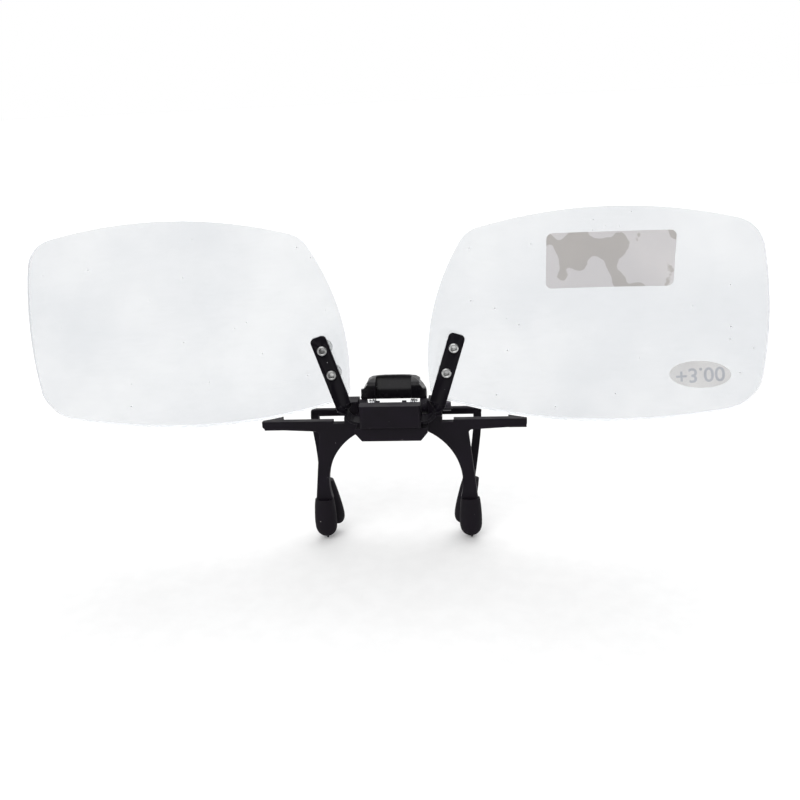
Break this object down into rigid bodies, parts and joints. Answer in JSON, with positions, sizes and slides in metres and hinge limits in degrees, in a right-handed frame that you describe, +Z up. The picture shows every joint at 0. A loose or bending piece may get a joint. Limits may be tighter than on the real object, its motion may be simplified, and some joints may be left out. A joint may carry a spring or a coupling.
{
  "type": "clip-on flip lenses",
  "caption": "Rimless magnifier lens pair on a riveted strip yoke that flips up or down on a sprung jaw clip, which grips the lenses of a pair of spectacles.",
  "frame": {"origin": "grip point midway between the closed front and rear sleeves, on the plane of symmetry", "axes": "+X left to right seen from the front and along the pair of lenses, +Y from the front towards the wearer, +Z up"},
  "size_m": [0.1476, 0.0136, 0.0701],
  "materials": {
    "jaw_black": "fine moulded texture, slightly purple black",
    "lever_black": "satin moulded",
    "sleeve_rubber": "matt soft rubber",
    "yoke_black": "smooth black anodised strip",
    "rivet_silver": "satin",
    "bush_clear": "translucent",
    "lens_clear": "polished, clear",
    "label_silver": "silver grey sticker",
    "label_oval": "grey beige sticker",
    "spring_steel": "bright wire",
    "pin_steel": "black oxide"
  },
  "bodies": {
    "front_clip": {"front_jaw": "jaw_black", "hinge_block": "jaw_black", "detent_leaf": "spring_steel", "front_left_sleeve": "sleeve_rubber", "front_right_sleeve": "sleeve_rubber", "pivot_pin": "pin_steel", "pin_cap": "pin_steel", "torsion_spring": "spring_steel"},
    "lens_frame": {"lens_yoke": "yoke_black", "left_rivets": "rivet_silver", "right_rivets": "rivet_silver", "left_bushes": "bush_clear", "right_bushes": "bush_clear", "left_washers": "bush_clear", "right_washers": "bush_clear", "left_lens": "lens_clear", "right_lens": "lens_clear", "blank_label": "label_silver", "power_label": "label_oval"},
    "rear_clip": {"rear_jaw": "jaw_black", "thumb_lever": "lever_black", "rear_left_sleeve": "sleeve_rubber", "rear_right_sleeve": "sleeve_rubber"}
  },
  "joints": [
    {"name": "lens_flip", "type": "hinge", "parent": "front_clip", "child": "lens_frame", "pos_m": [0, -0.00575, 0.0236], "axis": [1, 0, 0], "range_deg": [0, 180], "deforming": ["detent_leaf"]},
    {"name": "jaw_open", "type": "hinge", "parent": "front_clip", "child": "rear_clip", "pos_m": [0, 0.00105, 0.0242], "axis": [1, 0, 0], "range_deg": [0, 22], "stiffness_Nm_per_rad": 0.06, "springref_deg": -34.38, "deforming": ["torsion_spring"]}
  ]
}
